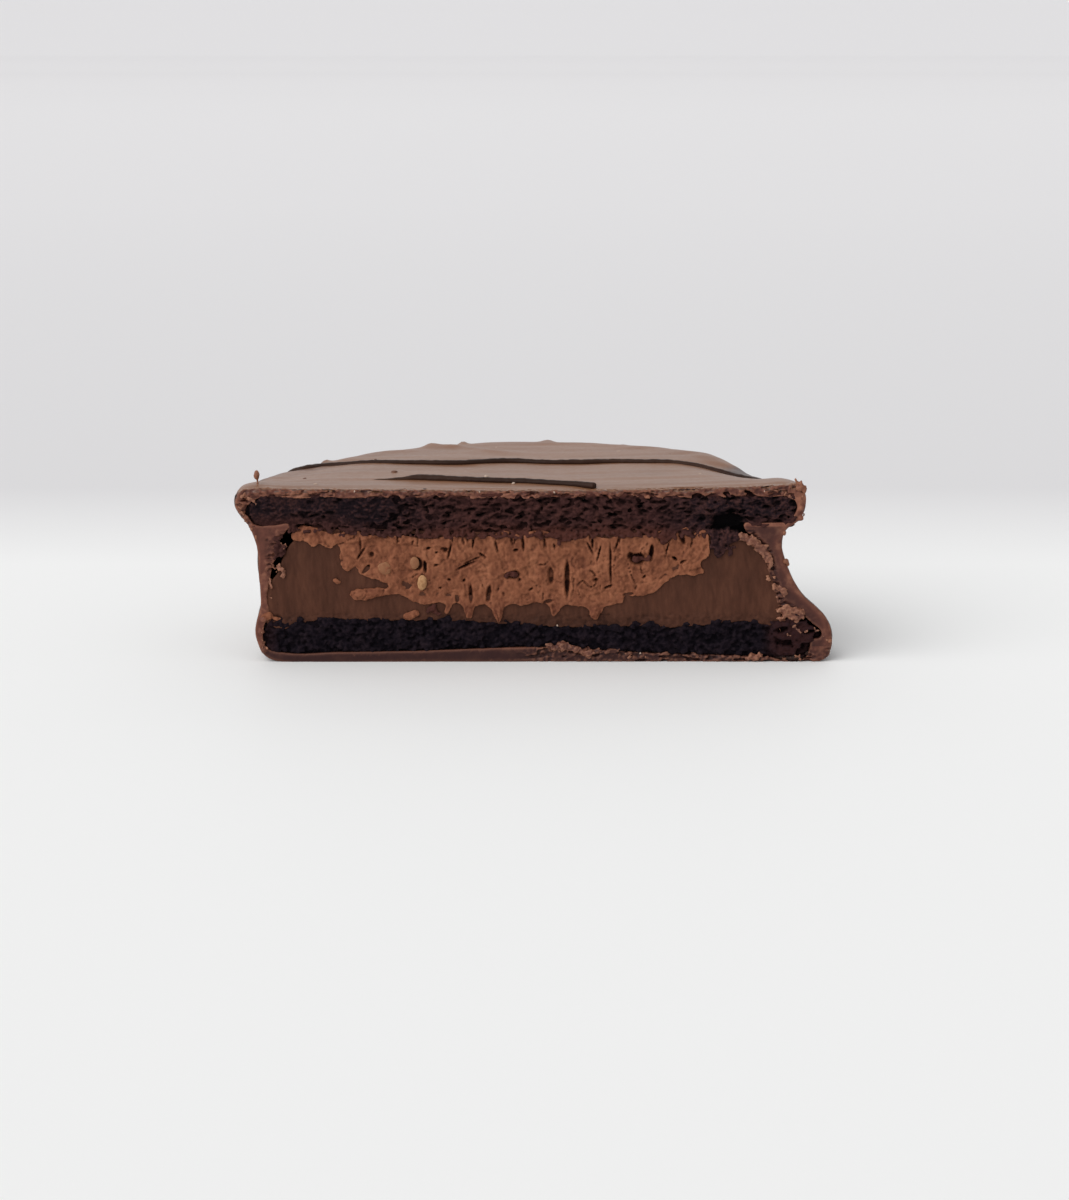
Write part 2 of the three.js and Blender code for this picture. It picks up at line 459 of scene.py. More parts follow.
def cut_finish(name, roughness, gloss, tones, tint, hollow_shade, grain, shaded_depths, streak=(1, 1, 1)):
    """A freshly cut face: three tones mottled at a grain in millimetres and a fourth where the
    piece is tinted. Edges that stand out take the lightest tone as a painted highlight, and creases and
    what lies deeper behind the cut take the last colour as painted shade."""
    material, tree, shader = new_finish(name, roughness, gloss)
    place = millimetres(tree, streak)
    fine = noise(tree, place, 1 / grain, 4)
    both = node(tree, "Mix", {"Factor": 0.5, "A": noise(tree, place, 0.2 / grain), "B": fine})
    stops = [(stop, tone(*shade)) for stop, shade in zip((0.36, 0.5, 0.66), tones, strict=True)]
    color = ramp(tree, both["Result"], stops)
    form = node(tree, "NewGeometry", {})["Pointiness"]
    depth = node(tree, "SeparateXYZ", {"Vector": here(tree)})["Y"]
    start, end = (cut_y + behind * MM for behind in shaded_depths)
    # The tint, then a painted highlight on standing edges, painted shade in creases, and painted shade deeper
    # behind the cut
    for source, low, high, share, shade in (
        (painted_tint(tree), 0, 1, 0.9, tint), (form, 0.5, 0.58, 0.55, tones[2]),
        (form, 0.5, 0.42, 0.6, hollow_shade), (depth, start, end, 1, hollow_shade),
    ):
        reach = {"Value": source, "From Min": low, "From Max": high, "To Max": share}
        color = blended(tree, node(tree, "MapRange", reach)["Result"], color, shade)
    tree.links.new(color, shader.inputs["Base Color"])
    embossed(tree, shader, fine, 0.3, 0.08)
    return material


def front(x, y, z):
    return below(0.9, 1.1, y)


def tumbled(draw, low, high):
    return [draw.uniform(low, high) for _ in range(3)]


def crumb_field(draw, count, inside, low, high, depth, flat=1.2):
    """Places, sizes and turns for crumbs where inside(x, z) is the chance that one sits there."""
    crumbs = []
    while len(crumbs) < count:
        x, z = draw.uniform(-36, 36), draw.uniform(0.3, 21.3)
        if draw.random() > inside(x, z):
            continue
        size = draw.uniform(low, high)
        crumbs.append((
            (x, draw.uniform(*depth), z),
            (size * draw.uniform(0.9, 1.4) * flat, size, size * draw.uniform(0.8, 1.2) / flat),
            tumbled(draw, -0.5, 0.5),
        ))
    return crumbs


bottom_outline = [
    (-33.3, 4), (-32.6, 5.3), (-30.5, 5.7), (-24, 5.6), (-15, 5.3), (-6, 5.1), (3, 4.8), (12, 4.8),
    (21, 5), (27, 5.4), (29.4, 5.1), (31.4, 4.8), (33.1, 4.2), (34.2, 3.2), (34.1, 0.9), (32.6, 0.6),
    (24, 0.8), (15, 1.1), (8, 1.4), (0, 1.8), (-5, 1.7), (-14, 1.35), (-24, 1.2), (-31, 1.15),
    (-33.1, 1.9),
]
draw = random.Random(11)
bottom_biscuit = slab("bottom_biscuit_cut", 0.55, 1.25, bottom_outline)


def over_sole(x):
    return 1.15 + 0.65 * float(between(-18, -2, x)) - 0.9 * float(between(2, 20, x))


def in_bottom_biscuit(x, z):
    under_ganache = 5.5 - 0.7 * float(between(-10, 8, x)) + 0.6 * float(between(16, 27, x))
    foot = 5.0 - 0.5 * max(x - 30.5, 0) if x > 29.6 else 9
    return float(-33.0 < x < 33.9 and over_sole(x) + 0.1 < z < min(under_ganache - 0.1, foot))


def in_foot_gap(x, z):
    """The gap over the crumbs of the foot, where a few larger ones lie."""
    return float(31.2 < x < 34.9 and 4.6 - 0.5 * (x - 30.5) < z < 5.7 - 0.75 * (x - 32.6))


grains = crumb_field(draw, 1300, in_bottom_biscuit, 0.12, 0.3, (0.35, 0.75))
grains += crumb_field(draw, 260, in_bottom_biscuit, 0.35, 0.6, (0.5, 0.8))
grains += crumb_field(draw, 150, lambda x, z: (29.4 < x) * in_bottom_biscuit(x, z), 0.3, 0.6, (0.2, 0.6))
grains += crumb_field(draw, 46, in_foot_gap, 0.25, 0.5, (0.25, 0.7))
joined(bottom_biscuit, strewn("grains", 2, grains))
fused(bottom_biscuit)
pushed(bottom_biscuit, 0.3, front, "NORMAL", soft_clouds, 0.5)
pushed(bottom_biscuit, 0.14, front, "NORMAL", soft_clouds, 0.26)


def foot_cracks(x, y, z):
    return front(x, y, z) * between(28.8, 30.4, x) * between(0.56, 0.6, mottled(x, z, 1.5, 0.8, 12))


def brown_ends(x, y, z):
    ragged = x + 1.6 * (mottled(x, z, 1.2, 1.0, 13) - 0.5)
    return between(27.4, 30.6, ragged) + 0.4 * below(-32.8, -31, x)


pushed(bottom_biscuit, 0.8, foot_cracks, "Y")
tinted(bottom_biscuit, brown_ends)
joined(bottom_biscuit, body_behind("bottom_biscuit"))
# Painted shade (the last colour) in creases and deep gaps, painted highlight (the lightest tone) on standing
# edges
finish = cut_finish(
    "near-black crumb", 0.95, 0.04, ((12, 9, 14), (22, 17, 23), (38, 29, 34)),
    (52, 30, 29), (5, 4, 6), 0.5, (0.25, 0.9),
)
put(bottom_biscuit, "bottom_biscuit_crumb", finish, "dark_cocoa_biscuit", "bottom_biscuit")


# ---------------------------------------------------------------- dark filling
# Smooth dark ganache, piped as a ring and pressed flat, so the knife leaves a polished face with
# faint upright drag lines. It's torn from the coating at the right, where crumbs fill the seam.
filling_outline = [
    (-32.9, 4.8), (-33, 6.6), (-32.9, 8.4), (-32.3, 10), (-31.5, 11), (-31, 12.4), (-30.4, 13.8),
    (-29.6, 14.9), (-28.6, 15.6), (-26.8, 16.4), (-24, 16.6), (-8, 16.2), (12, 16.4), (20, 16.6),
    (22.6, 16.2), (25.3, 15.8), (26.7, 15), (27.8, 14), (28.5, 12.8), (28.9, 11.4), (29.3, 10),
    (29.8, 8.4), (30.3, 6.6), (30.1, 5), (26, 5), (22, 4.7), (18, 4.3), (12, 4.4), (6, 4.3), (0, 4.5),
    (-6, 4.9), (-12, 5.2), (-18, 5.1), (-26, 5.3),
]
cream_hollow = [
    (-22.6, 15.2), (-22.7, 12.8), (-20.8, 12.1), (-17, 10.6), (-14.5, 9.6), (-12, 8.8), (-9, 8.4),
    (-3, 8.3), (3, 8.3), (9, 8.4), (13, 9.5), (15.2, 10.6), (17.2, 12), (19.4, 12.6), (20.2, 13.8),
    (20, 15.2), (10, 15.3), (-10, 15.2),
]
dark_filling = fused(slab("dark_filling_cut", 0.1, 1.15, filling_outline, cream_hollow), rounds=2)


def ragged_foot(x, y, z):
    return front(x, y, z) * below(5.6, 6.4, z)


def dragged(x, y, z):
    hollows = 0.6 * mottled(x, z, 4.5, 5, 32)
    lines = 0.22 * mottled(x, z, 0.35, 3.0, 31)
    return front(x, y, z) * (hollows + lines + 0.12 * mottled(x, z, 0.7, 0.9, 33))


# The tint: darker along the ganache's foot, a dark smear against the biscuit and partly painted shade under
# the overhanging cream, most below its drips in the middle; and random darker blotches
def ganache_tint_and_painted_shade(x, y, z):
    low = below(4.8, 6.6, z - 0.4 * np.sin(x))
    middle = between(-16, -8, x) * below(10, 16, x)
    return low * (0.3 + 0.25 * middle) + 0.45 * mottled(x, z, 2.0, 3.5, 34) ** 2


pushed(dark_filling, 0.5, ragged_foot, "NORMAL", soft_clouds, (0.9, 0.9, 0.7))
pushed(dark_filling, 0.45, dragged, "Y")
tinted(dark_filling, ganache_tint_and_painted_shade)
joined(dark_filling, body_behind("dark_filling"))
# Painted shade (the last colour) in creases and deep gaps, painted highlight (the lightest tone) on standing
# edges
finish = cut_finish(
    "cut ganache", 0.65, 0.08, ((70, 42, 31), (79, 48, 36), (90, 56, 42)),
    (52, 31, 24), (20, 11, 10), 0.5, (0.6, 1.1), (1, 1, 4),
)
put(dark_filling, "dark_filling_ganache", finish, "ganache", "dark_filling")


# ---------------------------------------------------------------- light filling
# Lighter chocolate cream piped into the ring of ganache. It tears under the knife, so its face is
# ragged, with drag folds, pits, upright splits and drips that hang over the ganache.
CORNER = "corner"
cream_outline = [
    (-29.3, 16.6), (-29.7, 15.6), (-29, 15), (-28, 15.1), (-27.2, 14.3), (-26.2, 14.7), (-25, 14.1),
    (-24.2, 14.7), (-23.8, 14.1), (-23.9, 13), (-23.4, 11.7), (-22.9, 11.3), (-21.9, 11.7), (-21.3, 11),
    (-19.9, 10.4), (-18.6, 10), (-17.6, 9.3, CORNER), (-19.4, 9.3), (-21.6, 9.1), (-22.6, 8.6),
    (-22.4, 8), (-21.1, 7.7), (-19.6, 8.2), (-17.6, 8.4), (-16, 8.2), (-14.8, 7.5), (-13.4, 7.2),
    (-11, 7.2), (-10.9, 6.1), (-10.2, 6.8), (-9.8, 7.3), (-8.9, 7), (-8.5, 5.8), (-7.8, 5.4), (-7.3, 6.7),
    (-6.4, 7.2), (-5.5, 6.8), (-4.9, 5.5), (-4.4, 4.9), (-3.9, 5.5), (-3.6, 6.8), (-2.9, 7.2), (-1.5, 7),
    (1.2, 7.4), (1.8, 6.7), (2.3, 5.7), (2.8, 6), (3.5, 7), (5, 7), (6.4, 6.7), (6.9, 5.7), (7.4, 5.2),
    (8.1, 5.8), (8.6, 6.8), (9.8, 7.2), (10.8, 7.4), (11.3, 8.3), (12.2, 8.2), (13.7, 8.4), (15.1, 9),
    (16.1, 9.9), (17.1, 10.6), (18.5, 10.8), (20, 10.9), (20.8, 11.2), (20.3, 12.4), (21.2, 13.2),
    (21.5, 14.2), (21.3, 15.4), (20.7, 16.6), (19.3, 16.2), (18.6, 16.9), (17, 16.2), (15.4, 16.5),
    (13.5, 15.9), (11.2, 16.3), (9, 15.5), (6.5, 16), (4, 15.4), (2.4, 16), (0.3, 16.5), (-1.6, 15.9),
    (-3.4, 16.4), (-5.5, 15.9), (-8.1, 15.6), (-10.5, 15.8), (-13, 15.5), (-15.3, 15.8), (-17.7, 16.1),
    (-20, 15.9), (-22, 16.6), (-24.5, 16.1), (-27, 16.9),
]
light_filling = slab("light_filling_cut", -0.2, 1.15, cream_outline)
folds = [
    ((-16.8, 0.05, 12.6), (1.5, 0.4, 2.2), (0, 0.1, 0)), ((-21, 0.05, 13.6), (2, 0.4, 1.8), (0, 0, 0)),
    ((-20.3, 0, 8.5), (2.2, 0.45, 0.6), (0, -0.05, 0)),
    ((-24.2, 0.05, 10.1), (0.6, 0.3, 0.42), (0, 0.3, 0)),
    ((-15.1, 0, 5.9), (1.2, 0.35, 0.6), (0, -0.45, 0)),
    ((-8.1, -0.05, 6.2), (0.45, 0.35, 0.8), (0, 0.2, 0)), ((5.2, 0.05, 10.4), (1.1, 0.4, 2.6), (0, 0, 0)),
    ((9.5, 0.1, 11.5), (1.5, 0.35, 2.4), (0, -0.1, 0)), ((18.4, 0.05, 13.4), (1.4, 0.4, 2), (0, 0.2, 0)),
    ((14.2, 0.05, 10.6), (2.4, 0.3, 1.3), (0, -0.3, 0)), ((-4.4, -0.1, 6), (0.45, 0.35, 1), (0, 0, 0)),
    ((7.4, -0.1, 6.2), (0.7, 0.35, 0.9), (0, 0.3, 0)), ((-32.9, 0, 5.6), (0.95, 0.35, 0.6), (0, -0.4, 0)),
    ((-13, 0.1, 13.2), (1, 0.35, 2.3), (0, 0.05, 0)),
    ((-18.4, -0.1, 11.9), (0.8, 0.3, 0.85), (0, 0.2, 0)),
    ((-31.6, 0.1, 5.4), (0.6, 0.25, 0.3), (0, 0.1, 0)),
]
joined(light_filling, strewn("folds", 3, folds, fold=0.03))
fused(light_filling, 0.13, rounds=1)
pushed(light_filling, 0.4, front, "NORMAL", crumbly_clouds, (1.4, 1.4, 1.6))
pushed(light_filling, 0.16, front, "NORMAL", soft_clouds, 0.5)


def dents(marks, edge=0.35):
    """A rule for hollows: each (x, z, half width, half height, turn, depth share)."""
    def rule(x, y, z):
        total = np.zeros_like(x)
        for mark_x, mark_z, wide, high, turn, share in marks:
            along = (x - mark_x) * math.cos(turn) + (z - mark_z) * math.sin(turn)
            across = (z - mark_z) * math.cos(turn) - (x - mark_x) * math.sin(turn)
            reach = np.hypot(along / wide, across / high)
            total = np.maximum(total, share * below(1 - edge, 1 + edge, reach))
        return total * front(x, y, z)
    return rule


def torn_cream(x, y, z):
    plates = 0.26 * between(0.5, 0.53, mottled(x, z, 3.4, 2.8, 41))
    plates += 0.2 * between(0.56, 0.58, mottled(x, z, 1.6, 2.4, 42))
    plates += 0.12 * between(0.62, 0.65, mottled(x, z, 0.9, 0.8, 43))
    plates += 0.14 * mottled(x, z, 0.8, 5.0, 44) * below(-13, -9, x)
    seam = np.abs(mottled(x, z, 2.2, 4.2, 45) - 0.5)
    cracks = 0.7 * below(0.004, 0.014, seam) * between(0.55, 0.6, mottled(x, z, 3.0, 2.2, 46))
    inner = between(7.6, 8.6, z - 2.8 * between(9, 19, x) - 3.0 * between(-13, -20, x))
    relief = np.maximum(plates, cracks) * (0.35 + 0.65 * inner)
    return front(x, y, z) * (relief + 0.07 * mottled(x, z, 0.4, 0.5, 47))


pushed(light_filling, 0.7, torn_cream, "Y")
splits = [
    (4, 10.4, 0.3, 2.1, 0, 1), (-7.8, 8.6, 0.22, 1, 0.05, 0.9), (-5.6, 8.6, 0.28, 0.9, -0.1, 0.9),
    (2, 10.9, 0.36, 0.95, 0.05, 0.8), (9.3, 12.2, 0.14, 2.4, 0.03, 0.8), (9, 9.4, 0.5, 0.14, 0.4, 0.8),
    (12.6, 12.9, 0.8, 0.6, 0.2, 1), (14.3, 13.7, 0.26, 0.9, -0.1, 1), (11.7, 13.3, 0.35, 0.4, 0, 0.8),
    (18, 15.6, 0.26, 0.9, 0.35, 0.9), (15.9, 15.6, 0.7, 0.7, 0, 0.8), (11.5, 8.5, 0.6, 0.14, 0.1, 0.8),
    (-14.3, 12.2, 0.62, 0.75, 0, 0.7), (-13.4, 11.9, 0.22, 0.7, 0.1, 1),
    (-8.3, 12.1, 1.3, 0.13, 0.42, 0.8), (-7.6, 12.7, 1.1, 0.1, 0.42, 0.6),
    (-6.3, 13.3, 0.5, 0.12, -0.6, 0.8), (-2.7, 10.9, 1, 0.42, 0.1, 0.6),
    (-21.2, 13.6, 0.13, 0.8, -0.6, 0.8), (-20.6, 11.6, 0.2, 0.6, -0.7, 0.8),
    (1.6, 7.6, 0.55, 0.18, 0.2, 0.8), (-9.5, 7.9, 0.18, 0.4, 0.2, 0.8), (7.5, 10.3, 0.34, 0.2, 0.2, 0.5),
    (6.8, 14.2, 0.1, 0.8, 0.5, 0.8), (-1.4, 14.9, 0.14, 0.9, 0.1, 0.8), (-10.9, 14, 0.3, 0.3, 0, 0.9),
    (-19.9, 13.4, 0.3, 0.3, 0, 0.6),
]
draw = random.Random(23)
for _ in range(16):
    size = draw.uniform(0.1, 0.17)
    splits.append((
        draw.uniform(-15, 20), draw.uniform(9.0, 15.6), size * draw.uniform(1, 2.6), size,
        draw.uniform(-1, 1), draw.uniform(0.5, 1),
    ))
for _ in range(24):
    splits.append((
        draw.uniform(-23, 20), draw.uniform(13.6, 16.2), draw.uniform(0.08, 0.14), draw.uniform(0.3, 1.1),
        draw.uniform(-0.35, 0.35), draw.uniform(0.4, 0.9),
    ))
pushed(light_filling, 0.85, dents(splits), "Y")


# The tint: darker towards its lower edge and over its drips, partly a thin smear and partly painted shade;
# darker along its top edge; and random darker blotches
def cream_tint_and_painted_shade(x, y, z):
    low = below(0, 1.6, z - 7.2 - 2.5 * between(9, 19, x) - 3.5 * between(-15, -22, x))
    drips = below(6.4, 7.6, z) * (x > -14)
    return 0.35 * low + 0.3 * drips + 0.5 * mottled(x, z, 2.4, 2.0, 48) ** 3 + 0.5 * between(15.2, 16.6, z)


tinted(light_filling, cream_tint_and_painted_shade)
joined(light_filling, body_behind("light_filling", 0.9))
# Painted shade (the last colour) in creases and deep gaps, painted highlight (the lightest tone) on standing
# edges
finish = cut_finish(
    "torn cream", 0.7, 0.08, ((108, 64, 45), (129, 79, 56), (152, 98, 71)),
    (88, 48, 36), (44, 21, 16), 0.45, (0.35, 0.95), (1, 1, 1.8),
)
put(light_filling, "light_filling_cream", finish, "chocolate_cream", "light_filling")

# Chopped hazelnut in the cream: pale pieces that the knife cut or pushed out
nuts = [
    ((-13.75, -0.2, 10), (0.6, 0.35, 0.98), (0, 0.08, 0)),
    ((-18.4, 0.22, 11.7), (0.9, 0.3, 0.85), (0, 0.4, 0)),
    ((-14.7, 0.35, 12.35), (0.62, 0.3, 0.8), (0, 0, 0)),
]
nut_pieces = fused(strewn("nuts", 3, nuts, fold=0.06), 0.1, rounds=3)
# The two nuts set further back take a darker tint: the left one its caramel colour, the middle one painted
# shade in its hole
tinted(nut_pieces, lambda x, y, z: 1.0 * ((x < -16) | (z > 11.3)))
# Painted shade (the last colour) in creases and deep gaps, painted highlight (the lightest tone) on standing
# edges
finish = cut_finish(
    "hazelnut", 0.6, 0.15, ((146, 104, 70), (168, 126, 88), (184, 143, 103)),
    (128, 81, 57), (104, 64, 48), 0.3, (0.2, 0.9),
)
put(nut_pieces, "nut_pieces", finish, "chocolate_cream")


# ---------------------------------------------------------------- top biscuit
# A thicker, crumblier cocoa biscuit. Its underside is baked round at the ends and its broken face
# is dense at the left and opens into flat reddish crumbs towards the middle and the right.
top_outline = [
    (-34.7, 19.8), (-33.6, 20.5), (-31, 20.8), (-28.6, 20.7), (-23.3, 20.6), (-18.5, 20.8), (-11.2, 20.9),
    (-1.5, 21), (9.8, 20.9), (17.1, 21), (24.3, 21.3), (28.2, 20.9), (31.6, 20.7), (32.6, 19.6),
    (32.3, 18.3), (31.1, 17.3), (27.9, 17.2), (25.8, 16.9), (22, 16.6), (17, 16.4), (11, 16.4), (5, 16.1),
    (-1.5, 16.1), (-10, 15.9), (-17.3, 16.2), (-23.3, 16.7), (-26.9, 17), (-29.9, 17), (-34.2, 17.1),
    (-34.9, 17.8), (-35.4, 18.8),
]


def under_top_biscuit(x):
    ends = 1.2 * between(-17, -27, x) + 1.1 * between(20, 28, x)
    return 15.9 + ends - 0.35 * mottled(x, 0 * x, 2.2, 1, 55)


draw = random.Random(37)
top_biscuit = slab("top_biscuit_cut", 0.62, 1.25, top_outline)


def in_top_biscuit(x, z):
    lower = float(under_top_biscuit(np.array([x]))[0])
    if not (-34.6 < x < 31.6 and lower < z < 20.9):
        return 0
    return 0.3 + 0.7 * float(between(-24, -10, x))


crumbs = crumb_field(draw, 2500, in_top_biscuit, 0.12, 0.34, (0.15, 0.8), 1.7)
dense_outline = [
    (-34.6, 19.6), (-33, 20.4), (-21, 20.4), (-17, 19.6), (-20, 17.4), (-28, 17.3), (-34, 17.3),
]
dense = slab("dense_part", 0.3, 1.0, dense_outline)
joined(top_biscuit, dense, strewn("crumbs", 2, crumbs))
hanging = []
for _ in range(330):
    x = draw.uniform(-27, 24)
    size = draw.uniform(0.12, 0.28)
    edge = float(under_top_biscuit(np.array([x]))[0])
    hanging.append((
        (x, draw.uniform(-0.25, 0.2), edge + draw.uniform(-0.15, 0.6)), (size * 1.3, size, size * 0.8),
        tumbled(draw, 0, 6),
    ))
fallen = [
    (21.5, 24.6, 14.2, 16.2, 90), (22, 24, 13.2, 14.4, 30), (24.3, 25.4, 15.2, 16.2, 16),
    (15.4, 17, 14.8, 16.2, 20), (12, 14.2, 12.7, 13.4, 16), (-3.7, -2, 10.7, 11.2, 12),
    (-31.8, -30.4, 12.6, 15.8, 26), (-13.2, -11.4, 6, 7.3, 18), (-30, -24, 16.2, 17.2, 50),
    (-24, -20, 15.8, 16.6, 24), (3, 4.5, 14.8, 15.8, 12),
]
for left, right, low, high, count in fallen:
    for _ in range(count):
        size = draw.uniform(0.14, 0.3)
        hanging.append((
            (draw.uniform(left, right), draw.uniform(-0.1, 0.35), draw.uniform(low, high)),
            (size * 1.2, size, size), tumbled(draw, 0, 6),
        ))
joined(top_biscuit, strewn("hanging crumbs", 2, hanging))
fused(top_biscuit, 0.14)
pits = [
    (
        draw.uniform(-30, 30), draw.uniform(16.4, 20.4), draw.uniform(0.2, 0.8), draw.uniform(0.1, 0.22),
        draw.uniform(-0.4, 0.4), draw.uniform(0.4, 1),
    )
    for _ in range(70)
]
pushed(top_biscuit, 0.45, dents(pits), "Y")
hollows = [
    (23.6, 17.7, 2, 0.9, 0, 1), (25, 16.9, 0.9, 0.6, 0, 1), (22.6, 16.9, 0.9, 0.45, 0, 1),
    (24.2, 18.7, 0.9, 0.5, 0, 0.6), (-28, 16.9, 1.1, 0.35, 0, 1), (-30.4, 16.8, 0.5, 0.3, 0, 0.8),
]
pushed(top_biscuit, 0.9, dents(hollows), "Y")
pushed(top_biscuit, 0.24, front, "NORMAL", soft_clouds, (0.5, 0.34, 0.26))


# Reddish crumbs low in the biscuit, through its middle and along its rim; the deep hollow at the right gets
# none, so it stays near black as painted shade
def reddish(x, y, z):
    low = below(0.2, 2.4, z - under_top_biscuit(x) + 0.8 * mottled(x, z, 2, 1, 56))
    middle = between(-20, -8, x) * below(12, 22, x)
    rim = between(20.4, 20.8, z)
    shaded_hole = below(0.8, 1.6, np.hypot((x - 23.8) / 1.6, z - 17.6))
    smear = 0.75 * between(20.6, 21.6, x) * below(16.2, 16.8, z)
    red = np.clip(low * np.maximum(middle, 0.55) + 0.45 * middle + 0.6 * rim, 0, 1)
    return red * (1 - shaded_hole) * (1 - smear)


tinted(top_biscuit, reddish)
joined(top_biscuit, body_behind("top_biscuit"))
# Painted shade (the last colour) in creases and deep gaps, painted highlight (the lightest tone) on standing
# edges
finish = cut_finish(
    "cocoa crumb", 0.95, 0.05, ((22, 17, 21), (36, 25, 29), (72, 46, 43)),
    (76, 43, 36), (6, 4, 5), 0.28, (0.1, 0.85),
)
put(top_biscuit, "top_biscuit_crumb", finish, "cocoa_biscuit", "top_biscuit")


# ---------------------------------------------------------------- coating
# Milk chocolate poured over the whole cookie and set: level on top, drawn in at the waist, thick
# at the foot where it pooled. Blown ripples, runs and lumps stay in it. It's spun from a section.
outer_line = [
    (0, 0), (8, 0), (16, 0), (25, 0), (32.6, 0), (34.2, 0.5), (35.2, 1.9), (35.4, 3.6), (35, 5.4),
    (33.9, 7.2), (32.9, 9.4), (32.3, 11.6), (32.1, 13.8), (32.3, 15.6), (33.2, 17.2), (34.4, 18.5),
    (34.85, 19.8), (34.5, 21), (33.4, 21.6), (30, 21.62), (25, 21.55), (20, 21.47), (15, 21.43),
    (10, 21.4), (5, 21.4), (0, 21.4),
]
COAT_THICKNESS = 1.2
SPIN_STEPS = 240
SHELL_START = 0.9
SHELL_MIDDLE = spot(0, SHELL_START, 0)


def turn_half():
    bpy.ops.mesh.spin(steps=SPIN_STEPS, angle=-math.pi, center=SHELL_MIDDLE, axis=(0, 0, 1), dupli=False)


coating = stood_up(drawn("coating_outside", [outer_line], "NONE", False, 7), SHELL_START)
edited(coating, turn_half, weld)
edited(coating, face_out)


def slid(x, y, z):
    return below(4.0, 13.0, z)


pushed(coating, -1.8, None, "X")
pushed(coating, 3.1, slid, "X")
pushed(coating, 0.36, lambda x, y, z: between(6, 18, z) * np.clip(x / 33, 0, 1), "Z")
pushed(coating, 0.15, lambda x, y, z: between(6, 18, z) * np.clip(y / 34, 0, 1), "Z")


def around(x, y):
    return np.arctan2(y, x + 0.6)


def sunk(x, y):
    """How many millimetres the worn rim droops below the level top, at the right and the left."""
    out = np.hypot(x + 1.8, y)
    turn = np.degrees(np.arctan2(y, x + 1.8))
    right = 1.7 * between(5, 26, turn) * below(30, 46, turn)
    left = 0.75 * below(164, 174, turn) * between(120, 150, turn)
    left += 0.35 * between(96, 110, turn) * below(140, 160, turn)
    return (right + left) * between(24, 34, out)


def away(y):
    """How far from the cut: the broken edge shows the coating's true outline there."""
    return between(0.6, 5, y)


def runs(x, y, z):
    turn = around(x, y)
    wave = np.sin(13 * turn + 0.9 * np.sin(5 * turn)) + 0.7 * np.sin(23 * turn + 2) + 0.4 * np.sin(37 * turn)
    return away(y) * np.exp(-((z - 11) / 4.6) ** 2) * (0.5 + wave / 4.2) * (0.35 + 0.65 * np.cos(turn) ** 2)


def foot_lumps(x, y, z):
    turn = around(x, y)
    wave = np.sin(17 * turn + 1) + 0.8 * np.sin(29 * turn + 2) + 0.6 * np.sin(53 * turn)
    far = between(3, 12, y)
    return far * np.exp(-((z - 3.2) / 1.9) ** 2) * (0.5 + wave / 4.8)


def folds_down(x, y, z):
    """Heavy upright folds where the chocolate ran down: each (turn in degrees, width, low, high)."""
    turn = np.degrees(around(x, y))
    total = np.zeros_like(x)
    for middle, wide, low, high in (
        (28, 2.6, 5, 15), (41, 3.4, 7, 17), (58, 3, 3, 12), (118, 3.6, 6, 16), (136, 2.6, 3, 13),
        (149, 3, 6, 17), (161, 2.2, 4, 14), (84, 5, 8, 15),
    ):
        lean = turn - middle - 0.5 * (z - 10) + 1.2 * np.sin(0.5 * z + middle)
        fold = np.exp(-(lean / wide) ** 2) * between(low - 2, low + 3, z)
        total += fold * below(high - 4, high + 1, z)
    return np.clip(total, 0, 1) * away(y)


def blown_waves(x, y, z):
    wave = np.sin(y * 1.5 + 1.3 * np.sin(x * 0.16 + 1) + 0.12 * x) + 0.6 * np.sin(y * 2.7 - x * 0.21 + 2)
    return (z > 20.9) * (0.5 + wave / 3.2)


def drawn_in(x, y, z):
    """The right side is thinner below the waist than the section it's spun from."""
    turn = np.degrees(np.arctan2(y, x))
    behind = 0.35 + 0.65 * between(1.2, 5, y)
    return behind * below(24, 60, turn) * np.exp(-((z - 7) / 3.0) ** 2)


pushed(coating, 0.6, lambda x, y, z: away(y) * between(0, 1.2, z) * below(12.5, 17, z))
pushed(coating, -1.5, drawn_in, "X")
pushed(coating, -0.75, runs)
pushed(coating, -0.6, foot_lumps)
pushed(coating, -0.9, folds_down)
pushed(coating, 0.1, blown_waves, "Z")
pushed(coating, -0.35, lambda x, y, z: away(y) * (z > 1) * (z < 21), "NORMAL", soft_clouds, (7, 7, 9))
pushed(coating, 0.16, lambda x, y, z: away(y) * (z > 20.9), "Z", soft_clouds, (9, 5, 5))


def rim_bumps(x, y, z):
    total = np.zeros_like(x)
    for bump_x, bump_y, size in (
        (-13.8, 33, 1.3), (1.8, 35, 1), (-9.4, 33.4, 0.6), (12, 33, 0.8), (-27, 24, 0.7),
    ):
        total += np.exp(-(((x - bump_x) / size) ** 2 + ((y - bump_y) / size / 1.2) ** 2))
    return total * (z > 20.5)


def covered_ridge(x, y, z):
    middle = 33 - 6.5 * between(-14, -3, x)
    return np.exp(-((y - middle) / 0.9) ** 2) * between(-15, -13.5, x) * below(-5, 0, x) * (z > 20.9)


def worn_front(x, y, z):
    return (z > 20.8) * below(1.3, 2.4, y + 1.1 * mottled(x, 0 * x, 2.5, 1, 82))


pushed(coating, -2, lambda x, y, z: between(15, 19, z) * sunk(x, y) / 2, "Z")
pushed(coating, 0.45, rim_bumps, "Z")
pushed(coating, 0.22, covered_ridge, "Z")
pushed(coating, -0.14, worn_front, "Z")


